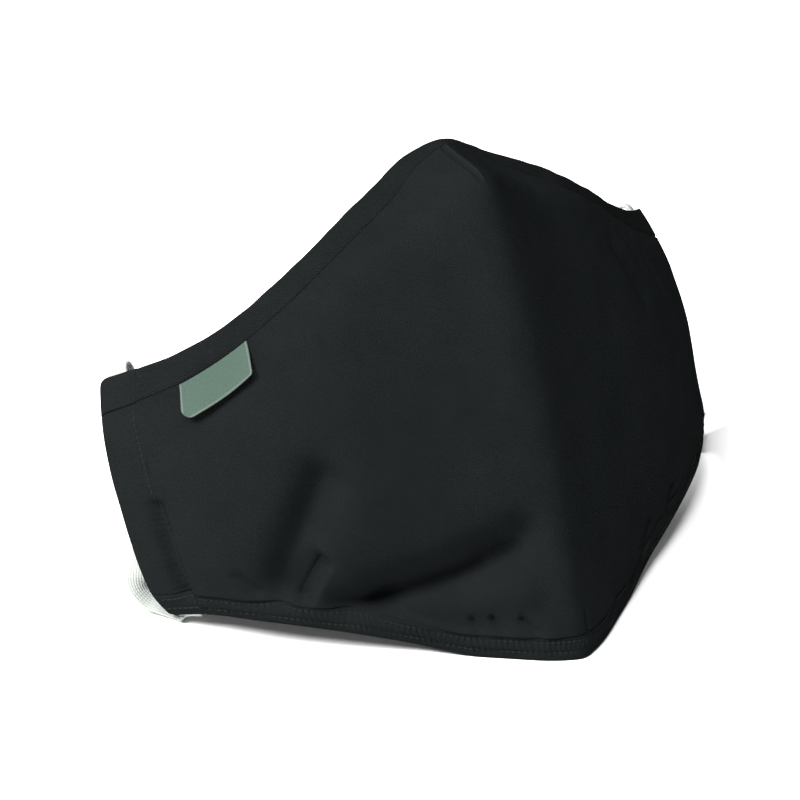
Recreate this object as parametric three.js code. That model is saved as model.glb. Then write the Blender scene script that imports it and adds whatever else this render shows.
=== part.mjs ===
// A cup-shaped cloth face mask, standing on its bottom hem and on the folds of its ear loops.
// Millimetres, +Z up, the front of the mask towards -Y, its two sides along X.
// Shape is worked out in the cup's own directions: w across it, from -1 to 1 between the
// ear edges, v up it, from 0 on the bottom edge to 1 on the top edge, and lift out of the cloth.
import * as THREE from 'three';

// Outline of the cup
const halfWidth = 83.4; // centre line to the upper ear corner
const earBow = 4.7; // how far the ear edge bows outwards between its corners
const noseHeight = 117; // top edge over the nose bridge
const earTopHeight = 56.5; // upper ear corner
const earLowHeight = 2.7; // lower ear corner, which stands on the elastic
const archHeight = 7.2; // highest place of the bottom edge, beside the ear
const chinReach = 70; // chin ahead of the lower ear corner
const earSetBack = 32.8; // upper ear corner behind the lower one
const tipReach = 22.5; // nose tip ahead of the lower ear corner
const tipHeight = 117.8; // nose tip, where the nose dart ends
const ridgeBow = 5; // how far the front ridge stands out of the straight line from chin to tip
const fullness = 1.5; // how far each cheek fills out beyond its edges
const dartLength = 25.5; // seam of the nose dart, from the nose tip back to the bridge

// Cloth pieces
const clothThickness = 1.8;
const bandWidth = 9;
const bandThickness = 2.2;
const hemWidth = 6.5;
const hemThickness = 2.4;
const casingWidth = 10;
const casingWall = 1.1;
const channelWidth = 6.8; // inside width of the casing, for the elastic
const channelDepth = 2.2;
const stitchWidth = 2.2; // sewn-down margin of the casing, beside the channel
const seamGap = 0.3; // between neighbouring pieces

// Label and elastic
const labelLength = 21;
const labelDrop = 9.5;
const labelThickness = 1;
const labelStandOff = 1.4; // how far the label's free edge lifts off the cloth
const elasticWidth = 6.2;
const elasticThickness = 1.2;

// Shares that shape the cup
const tipTurn = 0.02; // how tightly the centre line goes over the nose tip
const turnSpread = 0.2; // how much wider that turn gets away from the centre line
const bowForward = 0.9; // the ridge's bow, ahead and up
const bowUp = 0.4;
const bandNarrowing = 0.45; // how much narrower the band gets over the nose bridge
const narrowReach = 0.12; // and how far across from the bridge, of the half width
const foldFadeLow = 0.1; // folds fade out towards the bottom edge and the top edge
const foldFadeHigh = 0.06;
const levelReach = 0.08; // up from the bottom edge, where the lift levels out
const pinchReach = 2; // width of the pinch at the centre line, in lifts
const labelPlace = 0.735; // label's middle, of the half width
const labelLevel = 0.8; // height on the cup at which the label is measured
const labelCurl = 1.5; // power with which the label bends away from the cloth
const cornerCut = 0.3; // how far a folded edge is cut in, of its half thickness
const bandTuck = 0.8; // where the band's inner layer thins into its seam, of its width
const elasticJoint = 0.7; // where the elastic's two ends meet, up the channel
const mouthMargin = 0.01; // how far inside a mouth the elastic leaves the channel's middle
const elasticTurn = 1.3; // how far the elastic turns over sideways where it lies on the table

// Counts of facets
const columns = 48;
const panelRows = 22;
const casingSteps = 14;
const labelSteps = 8;
const labelRows = 4;
const loopSteps = 72;
const lengthSteps = 12;
const channelSteps = 6;
const columnPower = 1.35; // facets get narrower towards the centre line
const rowPower = 1.2; // and towards the bottom edge
const nearby = 0.004; // step in w and v to a neighbouring place, for directions

// Rows along the top edge, from the nose bridge to the ear. back is a share of earSetBack,
// and up a share of the way from the ear corner to the bridge.
const TOP_EDGE = [
  { across: 0.0, back: 0.08, up: 1.0 },
  { across: 0.08, back: 0.17, up: 0.925 },
  { across: 0.17, back: 0.16, up: 0.845 },
  { across: 0.28, back: 0.12, up: 0.768 },
  { across: 0.41, back: 0.09, up: 0.662 },
  { across: 0.54, back: 0.15, up: 0.52 },
  { across: 0.67, back: 0.285, up: 0.355 },
  { across: 0.8, back: 0.48, up: 0.215 },
  { across: 0.9, back: 0.725, up: 0.105 },
  { across: 1.0, back: 1.0, up: 0.0 },
];

// Rows along the bottom edge, from the chin to the ear. reach is a share of chinReach, and
// up a share of archHeight. The edge lies flat on the table beside the chin.
const BOTTOM_EDGE = [
  { across: 0.0, reach: 0.99, up: 0.0 },
  { across: 0.08, reach: 0.935, up: 0.0 },
  { across: 0.17, reach: 0.855, up: 0.0 },
  { across: 0.27, reach: 0.765, up: 0.03 },
  { across: 0.41, reach: 0.641, up: 0.4 },
  { across: 0.54, reach: 0.542, up: 0.74 },
  { across: 0.67, reach: 0.43, up: 0.95 },
  { across: 0.8, reach: 0.295, up: 1.0 },
  { across: 0.9, reach: 0.153, up: 0.85 },
  { across: 1.0, reach: 0.0, up: 0.375 },
];

// How the ear edge bows, from its lower corner to its upper one. bow is a share of earBow.
const EAR_EDGE = [
  { up: 0.0, bow: 0.0 },
  { up: 0.05, bow: 0.38 },
  { up: 0.1, bow: 0.66 },
  { up: 0.2, bow: 0.88 },
  { up: 0.32, bow: 0.98 },
  { up: 0.48, bow: 1.0 },
  { up: 0.62, bow: 0.97 },
  { up: 0.76, bow: 0.78 },
  { up: 0.87, bow: 0.5 },
  { up: 0.95, bow: 0.22 },
  { up: 1.0, bow: 0.0 },
];

// How roundly the cloth turns over the centre line, as a share of halfWidth.
const RIDGE_ROUNDING = [
  { up: 0.0, soft: 0.05 },
  { up: 0.15, soft: 0.04 },
  { up: 0.5, soft: 0.034 },
  { up: 0.72, soft: 0.026 },
  { up: 0.83, soft: 0.016 },
  { up: 0.92, soft: 0.012 },
  { up: 1.0, soft: 0.04 },
];

// Creases, hollows and puffs. Each runs over the cloth of one side from one place to another.
// depth and the reach above and below its line are shares of chinReach, and a puff has a
// depth under zero.
const FOLDS = [
  { side: -1, across: 0.57, up: 0.07, toAcross: 0.11, toUp: 0.235, depth: 0.065, above: 0.11, below: 0.12 },
  { side: -1, across: 0.4, up: 0.1, toAcross: 0.13, toUp: 0.13, depth: -0.03, above: 0.1, below: 0.1 },
  { side: -1, across: 0.55, up: 0.43, toAcross: 0.74, toUp: 0.1, depth: 0.035, above: 0.12, below: 0.12 },
  { side: -1, across: 0.69, up: 0.12, toAcross: 0.62, toUp: 0.23, depth: 0.018, above: 0.04, below: 0.04 },
  { side: 1, across: 0.49, up: 0.77, toAcross: 0.57, toUp: 0.64, depth: 0.022, above: 0.06, below: 0.06 },
  { side: 1, across: 0.57, up: 0.07, toAcross: 0.15, toUp: 0.23, depth: 0.04, above: 0.11, below: 0.12 },
];

// Points round the inside of a casing. across is a share of channelWidth from the stitched
// side, in and deep are shares of channelDepth: back from that place, and in from the face.
const CHANNEL_SECTION = [
  { across: 0.0, in: 0.0, deep: 0.0 },
  { across: 0.41, in: 0.0, deep: 0.0 },
  { across: 1.0, in: 0.3, deep: 0.0 },
  { across: 1.0, in: 0.08, deep: 0.2 },
  { across: 1.0, in: 0.0, deep: 0.5 },
  { across: 1.0, in: 0.08, deep: 0.8 },
  { across: 1.0, in: 0.3, deep: 1.0 },
  { across: 0.0, in: -0.3, deep: 1.0 },
  { across: 0.0, in: 0.0, deep: 0.6 },
];

// The free part of the elastic, from the casing's upper mouth round behind it to the lower
// mouth. along is a share of the ear edge, and the other two are in elastic widths: beyond
// the channel's middle, away from the cheek, and in behind the casing's outer face. turn
// says where the elastic turns over sideways, to lie on the table.
const ELASTIC_ROUTE = [
  { along: 1.035, beyond: 0.08, behind: 0.42, turn: 0 },
  { along: 1.05, beyond: 0.12, behind: 0.75, turn: 0 },
  { along: 1.035, beyond: 0.12, behind: 1.15, turn: 0 },
  { along: 0.99, beyond: 0.1, behind: 1.45, turn: 0 },
  { along: 0.9, beyond: 0.02, behind: 1.9, turn: 0 },
  { along: 0.79, beyond: 0.0, behind: 2.4, turn: 0 },
  { along: 0.67, beyond: 0.02, behind: 2.7, turn: 0 },
  { along: 0.55, beyond: 0.12, behind: 2.65, turn: 0 },
  { along: 0.44, beyond: 0.34, behind: 2.3, turn: 0 },
  { along: 0.35, beyond: 0.66, behind: 1.85, turn: 0 },
  { along: 0.27, beyond: 1.05, behind: 1.5, turn: 0 },
  { along: 0.19, beyond: 1.45, behind: 1.25, turn: 0.2 },
  { along: 0.12, beyond: 1.78, behind: 1.12, turn: 0.6 },
  { along: 0.06, beyond: 1.92, behind: 1.02, turn: 0.9 },
  { along: 0.02, beyond: 1.75, behind: 0.95, turn: 1 },
  { along: 0.0, beyond: 1.3, behind: 0.9, turn: 1 },
  { along: -0.02, beyond: 0.75, behind: 0.8, turn: 0.6 },
  { along: -0.03, beyond: 0.25, behind: 0.64, turn: 0.15 },
  { along: -0.022, beyond: 0.02, behind: 0.42, turn: 0 },
];

const sides = [-1, 1];
const { clamp, smoothstep } = THREE.MathUtils;
const mix = (a, b, t) => a + (b - a) * t;
const shares = (count) => Array.from({ length: count + 1 }, (_, i) => i / count);

// Smooth reading of one column of a table, at a value of its key column.
function read(rows, key, column, at) {
  let i = 0;
  while (i < rows.length - 2 && rows[i + 1][key] < at) i += 1;
  const slope = (j) => {
    const before = rows[Math.max(j - 1, 0)];
    const after = rows[Math.min(j + 1, rows.length - 1)];
    return (after[column] - before[column]) / (after[key] - before[key]);
  };
  const step = rows[i + 1][key] - rows[i][key];
  const t = clamp((at - rows[i][key]) / step, 0, 1);
  const rise = rows[i + 1][column] - rows[i][column];
  const start = slope(i) * step;
  const end = slope(i + 1) * step;
  const bend = start + end - 2 * rise;
  return rows[i][column] + t * (start + t * (3 * rise - 2 * start - end + t * bend));
}

// The centre line rises from the chin to the nose tip, then runs back along the nose dart.
// turn says how roundly it goes over the tip.
const bridgeReach = -TOP_EDGE[0].back * earSetBack;
const frontLength = Math.hypot(chinReach - tipReach, tipHeight);
const tipShare = frontLength / (frontLength + dartLength);

function centreLine(v, turn) {
  const off = v - tipShare;
  const round = Math.hypot(off, turn);
  const below = (round - off) / 2 / tipShare;
  const above = (round + off) / 2 / (1 - tipShare);
  const bow = ridgeBow * Math.sin(Math.PI * Math.min(v / tipShare, 1));
  const forward = tipReach + (chinReach - tipReach) * below + (bridgeReach - tipReach) * above;
  const up = tipHeight * (1 - below) + (noseHeight - tipHeight) * above;
  return { forward: forward + bowForward * bow, up: up + bowUp * bow };
}

// One place of the smooth cup, spanned between its centre line and its three edges. The ear
// edge stands straight in a side view and bows outwards in a front view.
function cup(w, v) {
  const soft = read(RIDGE_ROUNDING, 'up', 'soft', v);
  const u = (Math.hypot(w, soft) - soft) / (Math.hypot(1, soft) - soft);
  const centre = centreLine(v, tipTurn + turnSpread * u * Math.sin(Math.PI * v));
  const lowForward = (read(BOTTOM_EDGE, 'across', 'reach', u) - (1 - u)) * chinReach;
  const lowUp = read(BOTTOM_EDGE, 'across', 'up', u) * archHeight - earLowHeight * u;
  const back = read(TOP_EDGE, 'across', 'back', u) * earSetBack;
  const highForward = -back - mix(bridgeReach, -earSetBack, u);
  const highUp = (read(TOP_EDGE, 'across', 'up', u) - (1 - u)) * (noseHeight - earTopHeight);
  const fill = fullness * Math.sin(Math.PI * u) * Math.sin(Math.PI * v);
  const forward = mix(centre.forward, -earSetBack * v, u) + mix(lowForward, highForward, v) + fill;
  const up = mix(centre.up, mix(earLowHeight, earTopHeight, v), u) + mix(lowUp, highUp, v);
  const edge = halfWidth + earBow * read(EAR_EDGE, 'up', 'bow', v);
  return new THREE.Vector3(w * edge + Math.sign(w) * fill, -forward, Math.max(0, up));
}

// Lengths over the cloth: up it at a given w, and across half of it at a given v.
function lengthOf(points) {
  return points.slice(1).reduce((sum, point, i) => sum + point.distanceTo(points[i]), 0);
}

const lengthUp = (w) => lengthOf(shares(lengthSteps).map((v) => cup(w, v)));
const lengthAcross = (v) => lengthOf(shares(lengthSteps).map((w) => cup(w, v)));

// Directions of the cloth at a place: across it, up it and out of it.
function directions(w, v) {
  const left = Math.max(w - nearby, -1);
  const right = Math.min(w + nearby, 1);
  const low = Math.max(v - nearby, 0);
  const high = Math.min(v + nearby, 1);
  const across = cup(right, v).sub(cup(left, v)).normalize();
  const rise = cup(w, high).sub(cup(w, low)).normalize();
  const out = new THREE.Vector3().crossVectors(across, rise).normalize();
  return { across, rise, out };
}

// The cloth of one side laid flat, in millimetres from the chin.
const span = lengthAcross(0.5);
const flat = (across, up) => new THREE.Vector2(across * span, up * lengthUp(across));
const foldLines = FOLDS.map((fold) => {
  const from = flat(fold.across, fold.up);
  return { ...fold, from, run: flat(fold.toAcross, fold.toUp).sub(from) };
});

// How deep the folds are at a place, above zero into the cloth.
function foldDepth(w, v) {
  const here = flat(Math.abs(w), v);
  let depth = 0;
  for (const fold of foldLines) {
    if (fold.side * w <= 0) continue;
    const off = here.clone().sub(fold.from);
    const share = clamp(off.dot(fold.run) / fold.run.lengthSq(), 0, 1);
    off.addScaledVector(fold.run, -share);
    const reach = (off.y > 0 ? fold.above : fold.below) * chinReach;
    depth += fold.depth * chinReach * Math.exp(-2 * (off.length() / reach) ** 2);
  }
  return depth * smoothstep(v, 0, foldFadeLow) * smoothstep(1 - v, 0, foldFadeHigh);
}

// A place of the cloth with its folds, lifted out of it. The lift levels out at the bottom
// edge, which stands flat, and is pinched at the centre line, where both sides meet.
function place(w, v, lift = 0) {
  const at = cup(w, v);
  const { out } = directions(w, v);
  out.z *= smoothstep(v, 0, levelReach);
  const move = lift - foldDepth(w, v);
  const aside = Math.abs(at.x) + Number.EPSILON;
  out.x *= aside / (aside + pinchReach * Math.abs(lift));
  return at.addScaledVector(out, move);
}

// A closed solid through rings of points, all of one count and each folded flat on itself,
// so that its first and last points lie face to face across the cloth.
function loft(rings) {
  const count = rings[0].length;
  const faces = [];
  for (let r = 0; r < rings.length - 1; r += 1) {
    for (let k = 0; k < count; k += 1) {
      const next = (k + 1) % count;
      faces.push([r * count + k, (r + 1) * count + k, (r + 1) * count + next, r * count + next]);
    }
  }
  const last = (rings.length - 1) * count;
  for (let k = 0; k < count / 2 - 1; k += 1) {
    const pair = count - 1 - k;
    faces.push([k, k + 1, pair - 1, pair]);
    faces.push([last + pair, last + pair - 1, last + k + 1, last + k]);
  }
  return solid(rings.flat(), faces);
}

// A closed tube with an open channel, through pairs of rings of one count.
function sleeve(outerRings, innerRings) {
  const count = outerRings[0].length;
  const inside = outerRings.length * count;
  const last = (outerRings.length - 1) * count;
  const faces = [];
  for (let k = 0; k < count; k += 1) {
    const next = (k + 1) % count;
    for (let r = 0; r < last; r += count) {
      const after = r + count;
      faces.push([r + k, after + k, after + next, r + next]);
      faces.push([inside + r + next, inside + after + next, inside + after + k, inside + r + k]);
    }
    faces.push([k, next, inside + next, inside + k]);
    faces.push([inside + last + k, inside + last + next, last + next, last + k]);
  }
  return solid([...outerRings.flat(), ...innerRings.flat()], faces);
}

// Four-sided faces as a geometry whose faces point outwards.
function solid(points, faces) {
  const volume = faces.reduce((sum, [a, b, c, d]) => {
    const [pa, pb, pc, pd] = [points[a], points[b], points[c], points[d]];
    return sum + pa.dot(pb.clone().cross(pc)) + pa.dot(pc.clone().cross(pd));
  }, 0);
  const order = ([a, b, c, d]) => (volume > 0 ? [a, b, c, a, c, d] : [a, c, b, a, d, c]);
  const places = points.flatMap((point) => point.toArray());
  const geometry = new THREE.BufferGeometry();
  geometry.setAttribute('position', new THREE.Float32BufferAttribute(places, 3));
  geometry.setIndex(faces.flatMap(order));
  geometry.computeVertexNormals();
  return geometry;
}

// Where the cup's panel ends against the band, the hem and the casings. The band narrows
// over the nose bridge.
const bandWide = (w) => bandWidth * (1 - bandNarrowing * Math.exp(-((w / narrowReach) ** 2)));
const bandLine = (w) => 1 - bandWide(w) / lengthUp(w);
const hemLine = (w) => hemWidth / lengthUp(w);
const casingLine = (v) => 1 - casingWidth / lengthAcross(v);

// Shares from -1 to 1, closer together at the centre line.
const stationsAcross = shares(columns).map((share) => {
  const t = 2 * share - 1;
  return Math.sign(t) * Math.abs(t) ** columnPower;
});

// The panel: one cup of doubled cotton from casing to casing, between the band and the hem.
function panel() {
  return loft(stationsAcross.map((t) => {
    const outside = [];
    const inside = [];
    for (const share of shares(panelRows)) {
      const s = share ** rowPower;
      const guess = mix(hemLine(t), bandLine(t), s);
      const w = t * (casingLine(guess) - seamGap / lengthAcross(guess));
      const gap = seamGap / lengthUp(w);
      const v = mix(hemLine(w) + gap, bandLine(w) - gap, s);
      outside.push(place(w, v));
      inside.unshift(place(w, v, -clothThickness));
    }
    return [...outside, ...inside];
  }));
}

// The top band: a strip folded over the cloth's edge, from casing to casing over the nose.
function topBand() {
  const half = bandThickness / 2;
  const cut = half * cornerCut;
  const reach = casingLine(1) - seamGap / lengthAcross(1);
  return loft(stationsAcross.map((t) => {
    const w = t * reach;
    const wide = bandWide(w);
    const section = [
      { down: wide, lift: 0 },
      { down: wide / 2, lift: 0 },
      { down: half, lift: 0 },
      { down: cut, lift: -cut },
      { down: 0, lift: -half },
      { down: cut, lift: cut - bandThickness },
      { down: half, lift: -bandThickness },
      { down: wide / 2, lift: -bandThickness },
      { down: wide * bandTuck, lift: -bandThickness },
      { down: wide, lift: -clothThickness },
    ];
    return section.map(({ down, lift }) => place(w, 1 - down / lengthUp(w), lift));
  }));
}

// The bottom hem: the edge turned in and sewn with two rows, flat under the chin.
function bottomHem() {
  const section = [
    { rise: hemWidth, lift: 0 },
    { rise: hemWidth / 2, lift: 0 },
    { rise: 0, lift: 0 },
    { rise: 0, lift: -hemThickness },
    { rise: hemWidth / 2, lift: -hemThickness },
    { rise: hemWidth, lift: -clothThickness },
  ];
  const reach = casingLine(0) - seamGap / lengthAcross(0);
  return loft(stationsAcross.map((t) => {
    const w = t * reach;
    return section.map(({ rise, lift }) => place(w, rise / lengthUp(w), lift));
  }));
}

// A place on or behind a casing, so far from its seam towards the ear.
function casingPlace(side, fromSeam, behind, v) {
  const w = side * (1 - (casingWidth - fromSeam) / lengthAcross(v));
  return place(w, v, -behind);
}

// A side casing: the ear edge turned in and sewn down, open at both ends for the elastic.
const casingThickness = 2 * casingWall + channelDepth;

function sideCasing(side) {
  const round = casingThickness / 2;
  const cut = round * cornerCut;
  const outer = [
    { across: 0, behind: 0 },
    { across: casingWidth / 2, behind: 0 },
    { across: casingWidth - round, behind: 0 },
    { across: casingWidth - cut, behind: cut },
    { across: casingWidth, behind: round },
    { across: casingWidth - cut, behind: casingThickness - cut },
    { across: casingWidth - round, behind: casingThickness },
    { across: stitchWidth + casingWall, behind: casingThickness },
    { across: 0, behind: hemThickness },
  ];
  const inner = CHANNEL_SECTION.map((row) => ({
    across: stitchWidth + row.across * channelWidth - row.in * channelDepth,
    behind: casingWall + row.deep * channelDepth,
  }));
  const ring = (outline, v) => outline.map(({ across, behind }) => casingPlace(side, across, behind, v));
  const rings = (outline) => shares(casingSteps).map((v) => ring(outline, v));
  return sleeve(rings(outer), rings(inner));
}

// The woven label: a folded tape caught in the band's seam, its free edge standing off.
function sideLabel() {
  return loft(shares(labelSteps).map((along) => {
    const w = -labelPlace + ((along - 0.5) * labelLength) / lengthAcross(labelLevel);
    const outside = [];
    const inside = [];
    for (const down of shares(labelRows)) {
      const v = bandLine(w) - (seamGap + labelDrop * down) / lengthUp(w);
      const stand = seamGap + labelStandOff * down ** labelCurl;
      outside.push(place(w, v, stand + labelThickness));
      inside.unshift(place(w, v, stand));
    }
    return [...outside, ...inside];
  }));
}

// Directions of the cloth over the middle of a casing's channel.
const channelMiddle = stitchWidth + channelWidth / 2;

function channelDirections(side, v) {
  return directions(side * (1 - (casingWidth - channelMiddle) / lengthAcross(v)), v);
}

// Any place round a casing, also past its mouths and beyond the ear edge.
function roundCasing(side, along, beyond, behind) {
  const v = clamp(along, 0, 1);
  const { across, rise } = channelDirections(side, v);
  return casingPlace(side, channelMiddle, behind, v)
    .addScaledVector(across, side * beyond)
    .addScaledVector(rise, (along - v) * lengthUp(1));
}

// The middle line of an elastic: up the channel, round behind the casing, and up the channel
// again to the joint. Each point also says how far the elastic turns over sideways there.
function elasticPoints(side) {
  const inChannel = (from, to) => shares(channelSteps).map((share) => {
    const along = mix(from, to, share);
    return { at: casingPlace(side, channelMiddle, casingThickness / 2, along), turn: 0 };
  });
  const free = ELASTIC_ROUTE.map(({ along, beyond, behind, turn }) => {
    const at = roundCasing(side, along, beyond * elasticWidth, behind * elasticWidth);
    return { at, turn };
  });
  return [
    ...inChannel(elasticJoint, 1 - mouthMargin),
    ...free,
    ...inChannel(mouthMargin, elasticJoint - mouthMargin),
  ];
}

// An ear loop: one flat elastic, through the casing and round behind it, its two ends
// meeting inside the channel.
function earLoop(side) {
  const points = elasticPoints(side);
  const curve = new THREE.CatmullRomCurve3(points.map(({ at }) => at), false, 'centripetal');
  const corner = elasticThickness / 3;
  const wide = elasticWidth / 2;
  const thin = elasticThickness / 2;
  const section = [
    { across: -wide, off: corner - thin },
    { across: corner - wide, off: -thin },
    { across: wide - corner, off: -thin },
    { across: wide, off: corner - thin },
    { across: wide, off: thin - corner },
    { across: wide - corner, off: thin },
    { across: corner - wide, off: thin },
    { across: -wide, off: thin - corner },
  ];
  return loft(shares(loopSteps).map((share) => {
    const t = curve.getUtoTmapping(share);
    const at = curve.getPoint(t);
    const ahead = curve.getTangent(t);
    const past = t * (points.length - 1);
    const before = Math.min(Math.floor(past), points.length - 2);
    const turn = mix(points[before].turn, points[before + 1].turn, past - before);
    const level = clamp((at.z - earLowHeight) / (earTopHeight - earLowHeight), 0, 1);
    const widthWay = channelDirections(side, level).across;
    widthWay.y -= side * elasticTurn * turn;
    widthWay.addScaledVector(ahead, -widthWay.dot(ahead)).normalize();
    const faceWay = new THREE.Vector3().crossVectors(ahead, widthWay);
    return section.map(({ across, off }) =>
      at.clone().addScaledVector(widthWay, across).addScaledVector(faceWay, off));
  }));
}

const fabric = (color, roughness) => new THREE.MeshStandardMaterial({ color, roughness, metalness: 0 });
const cotton = fabric(0x181b1d, 0.85);
const bandCotton = fabric(0x1d2022, 0.85);
const labelWeave = fabric(0x75857d, 0.7);
const knittedElastic = fabric(0xe4e6e1, 0.8);

const mask = new THREE.Group();

function add(name, geometry, material) {
  const mesh = new THREE.Mesh(geometry, material);
  mesh.name = name;
  mask.add(mesh);
}

add('cup_panel', panel(), cotton);
add('top_band', topBand(), bandCotton);
add('bottom_hem', bottomHem(), cotton);
add('side_label', sideLabel(), labelWeave);
for (const side of sides) {
  const name = side < 0 ? 'right' : 'left';
  add(`side_casing_${name}`, sideCasing(side), cotton);
  add(`ear_loop_${name}`, earLoop(side), knittedElastic);
}

// The origin is on the table, under the middle of the cloth.
const cloth = new THREE.Box3();
for (const mesh of mask.children) {
  if (mesh.material !== knittedElastic) cloth.union(new THREE.Box3().setFromObject(mesh));
}
const middle = cloth.getCenter(new THREE.Vector3());
for (const mesh of mask.children) mesh.geometry.translate(-middle.x, -middle.y, -cloth.min.z);

export default mask;
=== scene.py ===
# A black cotton face mask with white ear loops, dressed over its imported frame.
# Metres, +Z up, the front of the mask towards -Y, its wearer's right side towards -X.
import math

import bpy
import numpy as np
from mathutils import Matrix, Vector


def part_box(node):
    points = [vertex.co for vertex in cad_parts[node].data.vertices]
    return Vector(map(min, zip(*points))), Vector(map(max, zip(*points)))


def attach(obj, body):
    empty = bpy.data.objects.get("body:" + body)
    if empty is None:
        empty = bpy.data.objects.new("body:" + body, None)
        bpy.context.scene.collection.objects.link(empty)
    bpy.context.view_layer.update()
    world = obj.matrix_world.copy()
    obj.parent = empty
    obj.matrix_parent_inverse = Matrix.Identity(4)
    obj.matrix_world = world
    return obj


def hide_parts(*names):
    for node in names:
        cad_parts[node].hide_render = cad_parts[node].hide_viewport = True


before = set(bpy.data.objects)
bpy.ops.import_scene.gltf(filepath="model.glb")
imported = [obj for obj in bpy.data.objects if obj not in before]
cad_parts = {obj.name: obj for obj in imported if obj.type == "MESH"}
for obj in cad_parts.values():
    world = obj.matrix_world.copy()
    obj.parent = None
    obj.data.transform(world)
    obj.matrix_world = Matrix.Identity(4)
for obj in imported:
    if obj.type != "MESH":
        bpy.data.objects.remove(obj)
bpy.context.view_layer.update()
bpy.ops.object.select_all(action="DESELECT")


# The camera looks down at the mask from its right front, as the photograph does.
# A long lens stands far off, so the near and far halves keep almost the same scale.
VIEW_AZIMUTH = math.radians(-30.48)
VIEW_ELEVATION = math.radians(32.55)
VIEW_ROLL = math.radians(-0.73)
VIEW_AIM = Vector((-0.0163, 0.0116, 0.0492))
VIEW_DISTANCE = 1.15
SENSOR_WIDTH = 36.0
IMAGE_SIDE = 800
PIXELS_PER_METRE = 3900
CLIP_START = 0.05

view_turn = (
    Matrix.Rotation(VIEW_AZIMUTH, 3, "Z")
    @ Matrix.Rotation(math.pi / 2 - VIEW_ELEVATION, 3, "X")
    @ Matrix.Rotation(VIEW_ROLL, 3, "Z")
)
view_back = view_turn @ Vector((0, 0, 1))
bpy.ops.object.camera_add(
    location=VIEW_AIM + VIEW_DISTANCE * view_back, rotation=view_turn.to_euler()
)
camera = bpy.context.object
camera.name = "camera"
camera.data.sensor_width = SENSOR_WIDTH
camera.data.lens = SENSOR_WIDTH * PIXELS_PER_METRE * VIEW_DISTANCE / IMAGE_SIDE
camera.data.clip_start = CLIP_START
bpy.context.scene.camera = camera


# The cup is sewn from doubled cotton. Its form is spanned between the seam over nose and
# chin, the two ear edges, the top edge and the bottom edge. Places on it are w, from -1 to
# 1 across it, and v, from 0 at the bottom edge to 1 at the top edge.
HALF_WIDTH = 0.0834
EAR_BOW = 0.0047
FAR_BOW = 0.0031
FAR_BOW_RISE = (0.2, 0.55)
NOSE_HEIGHT = 0.117
EAR_TOP_HEIGHT = 0.0565
EAR_LOW_HEIGHT = 0.0027
ARCH_HEIGHT = 0.0072
CHIN_REACH = 0.070
EAR_SET_BACK = 0.0328
TIP_REACH = 0.0225
TIP_HEIGHT = 0.1178
RIDGE_BOW = 0.005
FULLNESS = 0.0015
DART_LENGTH = 0.0255
TIP_TURN = 0.02
TURN_SPREAD = 0.2
BOW_FORWARD = 0.9
BOW_UP = 0.4
TOP_EDGE = {
    "across": (0, 0.08, 0.17, 0.28, 0.41, 0.54, 0.67, 0.8, 0.9, 1),
    "back": (0.08, 0.17, 0.16, 0.12, 0.09, 0.15, 0.285, 0.48, 0.725, 1),
    "up": (1, 0.925, 0.845, 0.768, 0.662, 0.52, 0.355, 0.215, 0.105, 0),
}
BOTTOM_EDGE = {
    "across": (0, 0.08, 0.17, 0.27, 0.41, 0.54, 0.67, 0.8, 0.9, 1),
    "reach": (0.99, 0.935, 0.855, 0.765, 0.641, 0.542, 0.43, 0.295, 0.153, 0),
    "up": (0, 0, 0, 0.03, 0.4, 0.74, 0.95, 1, 0.85, 0.375),
}
EAR_EDGE = {
    "up": (0, 0.05, 0.1, 0.2, 0.32, 0.48, 0.62, 0.76, 0.87, 0.95, 1),
    "bow": (0, 0.38, 0.66, 0.88, 0.98, 1, 0.97, 0.78, 0.5, 0.22, 0),
}
RIDGE_ROUNDING = {
    "up": (0, 0.15, 0.5, 0.72, 0.83, 0.92, 1),
    "soft": (0.03, 0.035, 0.08, 0.07, 0.035, 0.014, 0.04),
}
BRIDGE_REACH = -TOP_EDGE["back"][0] * EAR_SET_BACK
FRONT_LENGTH = math.hypot(CHIN_REACH - TIP_REACH, TIP_HEIGHT)
TIP_SHARE = FRONT_LENGTH / (FRONT_LENGTH + DART_LENGTH)
NEAR = 0.004
LENGTH_COLUMNS = 240
LENGTH_STEPS = 12


def mix(a, b, t):
    return a + (b - a) * t


def smooth(value, low, high):
    """Rise from 0 at low to 1 at high, level at both ends."""
    t = np.clip((value - low) / (high - low), 0, 1)
    return t * t * (3 - 2 * t)


def bell(distance, reach):
    """A rounded ridge: 1 on its line, and gone within about two reaches of it."""
    return np.exp(-((distance / reach) ** 2))


def read(table, key, column, at):
    """Smooth reading of one column of a table, at any values of its key column."""
    keys = np.array(table[key], float)
    values = np.array(table[column], float)
    rows = np.arange(len(keys))
    before = np.maximum(rows - 1, 0)
    after = np.minimum(rows + 1, rows[-1])
    slope = (values[after] - values[before]) / (keys[after] - keys[before])
    cell = np.clip(np.searchsorted(keys, at) - 1, 0, rows[-1] - 1)
    step = keys[cell + 1] - keys[cell]
    t = np.clip((at - keys[cell]) / step, 0, 1)
    rise = values[cell + 1] - values[cell]
    start = slope[cell] * step
    end = slope[cell + 1] * step
    bend = start + end - 2 * rise
    return values[cell] + t * (start + t * (3 * rise - 2 * start - end + t * bend))


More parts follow.
